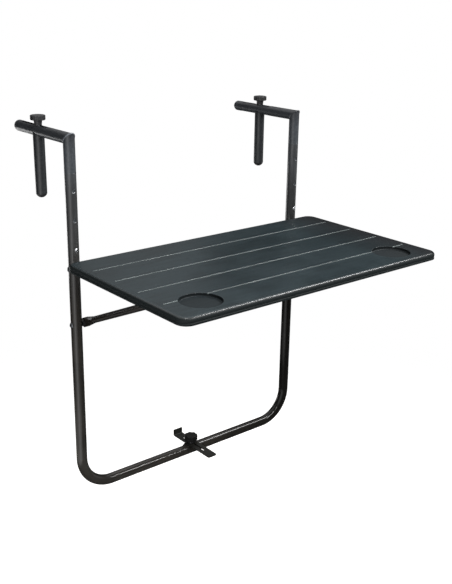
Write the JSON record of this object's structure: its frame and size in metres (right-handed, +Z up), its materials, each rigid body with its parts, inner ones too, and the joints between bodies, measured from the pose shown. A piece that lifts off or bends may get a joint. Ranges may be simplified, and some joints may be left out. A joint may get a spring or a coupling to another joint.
{
  "type": "folding balcony table",
  "caption": "Folding balcony table: tube frame that hooks over a rail, with a fold-down top on a swinging bail.",
  "frame": {"origin": "midway between the arms, where their undersides meet the plane of the posts' backs, at the rail's front top corner", "axes": "+Z up, +Y from the user over the rail, +X to the user's right"},
  "size_m": [0.605, 0.5695, 0.7376],
  "materials": {
    "black_frame": "satin",
    "black_strip": "satin",
    "slate_top": "matte",
    "black_plastic": "matte",
    "bright_steel": "polished",
    "plain_steel": "zinc plated",
    "brass_insert": "turned"
  },
  "bodies": {
    "lower_frame": {"frame_tube": "black_frame", "strip_saddle": "black_frame", "strip_weld_nut": "plain_steel", "left_hinge_rivet": "bright_steel", "right_hinge_rivet": "bright_steel", "left_hinge_washer": "black_plastic", "right_hinge_washer": "black_plastic", "left_bail_rivet": "bright_steel", "right_bail_rivet": "bright_steel", "left_bail_spacer": "black_plastic", "right_bail_spacer": "black_plastic"},
    "table": {"tabletop": "slate_top", "left_hinge_bracket": "black_frame", "right_hinge_bracket": "black_frame", "bracket_screws": "plain_steel", "left_bail_clip": "black_plastic", "right_bail_clip": "black_plastic", "clip_screws": "plain_steel"},
    "bail": {"support_bail": "black_frame"},
    "strip": {"spacer_strip": "black_strip"},
    "strip_knob_set": {"strip_knob": "black_plastic", "strip_stud": "plain_steel", "strip_washer": "plain_steel"},
    "left_hook": {"left_hook_tube": "black_frame", "left_arm_cap": "black_plastic", "left_button_spring": "plain_steel"},
    "left_button": {"left_snap_button": "bright_steel"},
    "left_clamp": {"left_drop_tube": "black_frame", "left_drop_cap": "black_plastic", "left_stud_plug": "plain_steel", "left_clamp_stud": "plain_steel", "left_clamp_washer": "black_plastic"},
    "left_knob": {"left_clamp_knob": "black_plastic", "left_knob_insert": "brass_insert"},
    "right_hook": {"right_hook_tube": "black_frame", "right_arm_cap": "black_plastic", "right_button_spring": "plain_steel"},
    "right_button": {"right_snap_button": "bright_steel"},
    "right_clamp": {"right_drop_tube": "black_frame", "right_drop_cap": "black_plastic", "right_stud_plug": "plain_steel", "right_clamp_stud": "plain_steel", "right_clamp_washer": "black_plastic"},
    "right_knob": {"right_clamp_knob": "black_plastic", "right_knob_insert": "brass_insert"}
  },
  "joints": [
    {"name": "table_fold", "type": "hinge", "parent": "lower_frame", "child": "table", "pos_m": [0, -0.0105, -0.227], "axis": [1, 0, 0], "range_deg": [0, 89]},
    {"name": "bail_swing", "type": "hinge", "parent": "lower_frame", "child": "bail", "pos_m": [0, -0.0105, -0.336], "axis": [1, 0, 0], "range_deg": [0, 114.4]},
    {"name": "strip_slide", "type": "slide", "parent": "lower_frame", "child": "strip", "axis": [0, 1, 0], "range_m": [-0.025, 0.044]},
    {"name": "strip_knob_turn", "type": "hinge", "parent": "lower_frame", "child": "strip_knob_set", "pos_m": [0, -0.0105, -0.66], "axis": [0, 0, 1], "continuous": true},
    {"name": "left_hook_lift", "type": "slide", "parent": "lower_frame", "child": "left_hook", "axis": [0, 0, 1], "range_m": [0, 0.108], "deforming": ["left_snap_button"]},
    {"name": "left_button_press", "type": "slide", "parent": "left_hook", "child": "left_button", "axis": [0, 1, 0], "range_m": [0, 0.0033], "stiffness_N_per_m": 300, "springref_m": -0.001, "deforming": ["left_button_spring"]},
    {"name": "left_clamp_slide", "type": "slide", "parent": "left_hook", "child": "left_clamp", "axis": [0, 1, 0], "range_m": [-0.032, 0.056]},
    {"name": "left_knob_turn", "type": "hinge", "parent": "left_clamp", "child": "left_knob", "pos_m": [-0.27, 0.0995, 0.03], "axis": [0, 0, 1], "continuous": true},
    {"name": "right_hook_lift", "type": "slide", "parent": "lower_frame", "child": "right_hook", "axis": [0, 0, 1], "range_m": [0, 0.108], "deforming": ["right_snap_button"]},
    {"name": "right_button_press", "type": "slide", "parent": "right_hook", "child": "right_button", "axis": [0, 1, 0], "range_m": [0, 0.0033], "stiffness_N_per_m": 300, "springref_m": -0.001, "deforming": ["right_button_spring"]},
    {"name": "right_clamp_slide", "type": "slide", "parent": "right_hook", "child": "right_clamp", "axis": [0, 1, 0], "range_m": [-0.032, 0.056]},
    {"name": "right_knob_turn", "type": "hinge", "parent": "right_clamp", "child": "right_knob", "pos_m": [0.27, 0.0995, 0.03], "axis": [0, 0, 1], "continuous": true}
  ],
  "couplings": [
    {"joint": "bail_swing", "follows": "table_fold", "ratio": 1.2845}
  ]
}
